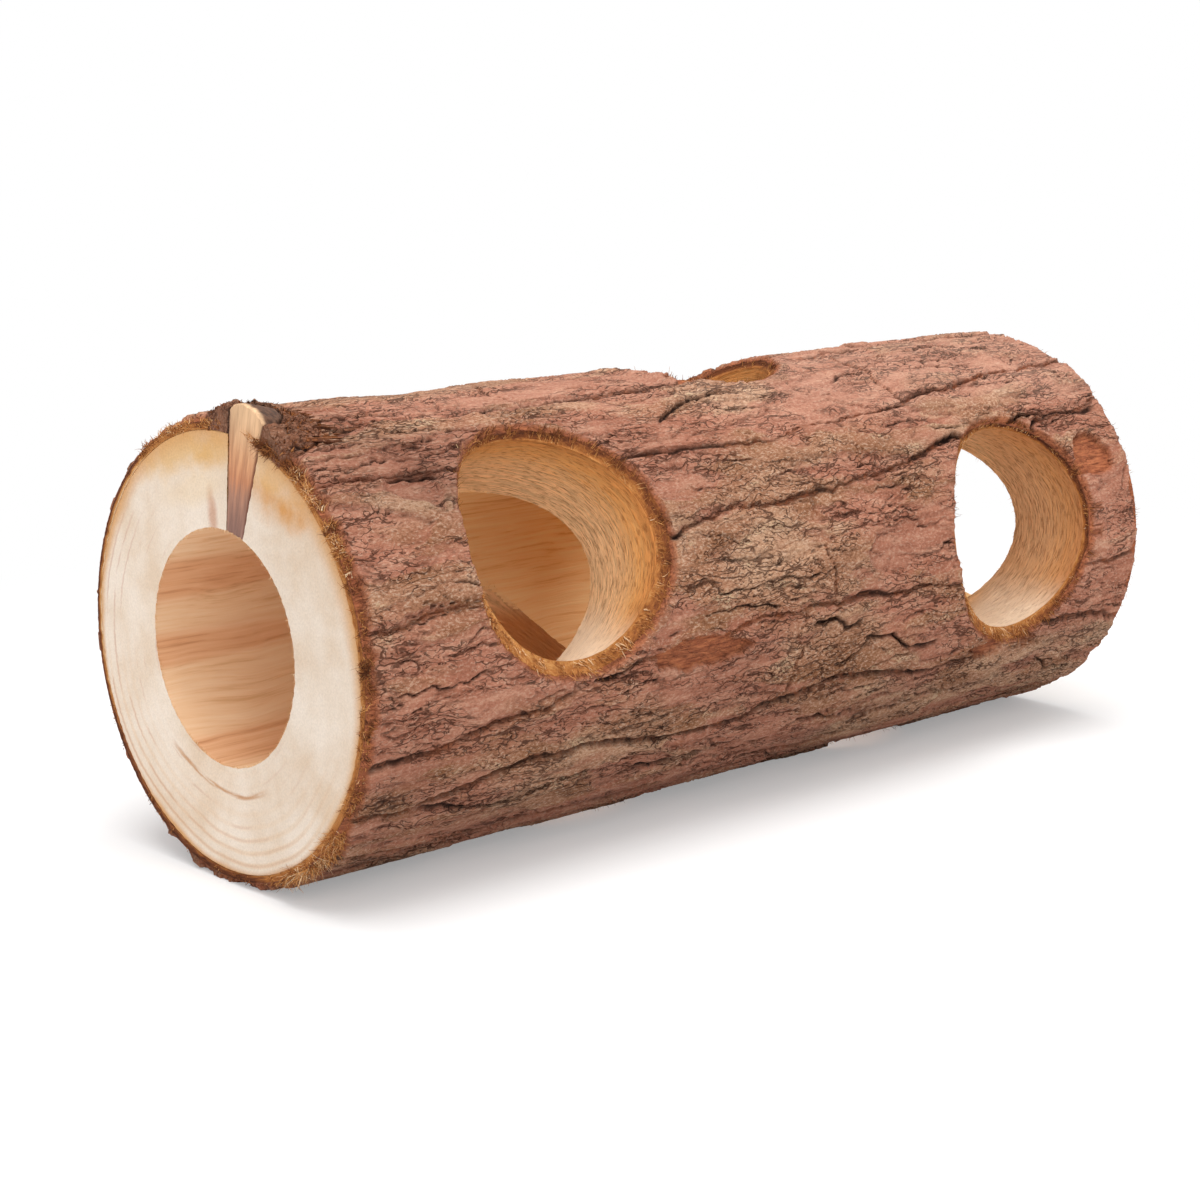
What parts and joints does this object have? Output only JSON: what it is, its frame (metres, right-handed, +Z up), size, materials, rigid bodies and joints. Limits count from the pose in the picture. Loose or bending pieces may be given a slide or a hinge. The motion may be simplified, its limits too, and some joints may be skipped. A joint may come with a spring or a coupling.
{
  "type": "hollow log pet tunnel",
  "caption": "Hollow bark-covered log with a through bore and round side windows, a crawl tunnel and hide for a small pet.",
  "frame": {"origin": "middle of the log's length, straight under its axis, on the surface it rests on", "axes": "+X along the log to the far end, -Y towards the front windows, +Z up"},
  "size_m": [0.2, 0.08, 0.0813],
  "materials": {
    "bare_wood": "sawn and drilled, pale end grain and tan bore walls",
    "knot_wood": "sawn branch wood, pinkish brown",
    "inner_bark": "torn rusty fibre",
    "outer_bark": "rough flaking bark, matt"
  },
  "bodies": {
    "root": {"log_wood": "bare_wood", "branch_knot": "knot_wood", "knot_collar": "outer_bark", "inner_bark": "inner_bark", "bark_under_1": "outer_bark", "bark_under_2": "outer_bark", "bark_under_3": "outer_bark", "bark_under_front_1": "outer_bark", "bark_under_front_2": "outer_bark", "bark_low_front_1": "outer_bark", "bark_low_front_2": "outer_bark", "bark_low_front_3": "outer_bark", "bark_mid_front_1": "outer_bark", "bark_mid_front_2": "outer_bark", "bark_mid_front_3": "outer_bark", "bark_front_1": "outer_bark", "bark_front_2": "outer_bark", "bark_front_3": "outer_bark", "bark_front_4": "outer_bark", "bark_high_front_1": "outer_bark", "bark_high_front_2": "outer_bark", "bark_high_front_3": "outer_bark", "bark_shoulder_1": "outer_bark", "bark_shoulder_2": "outer_bark", "bark_shoulder_3": "outer_bark", "bark_crest_1": "outer_bark", "bark_crest_2": "outer_bark", "bark_crest_3": "outer_bark", "bark_crest_4": "outer_bark", "bark_crest_back_1": "outer_bark", "bark_crest_back_2": "outer_bark", "bark_crest_back_3": "outer_bark", "bark_back_1": "outer_bark", "bark_back_2": "outer_bark", "bark_back_3": "outer_bark", "bark_back_low_1": "outer_bark", "bark_back_low_2": "outer_bark"}
  },
  "joints": []
}
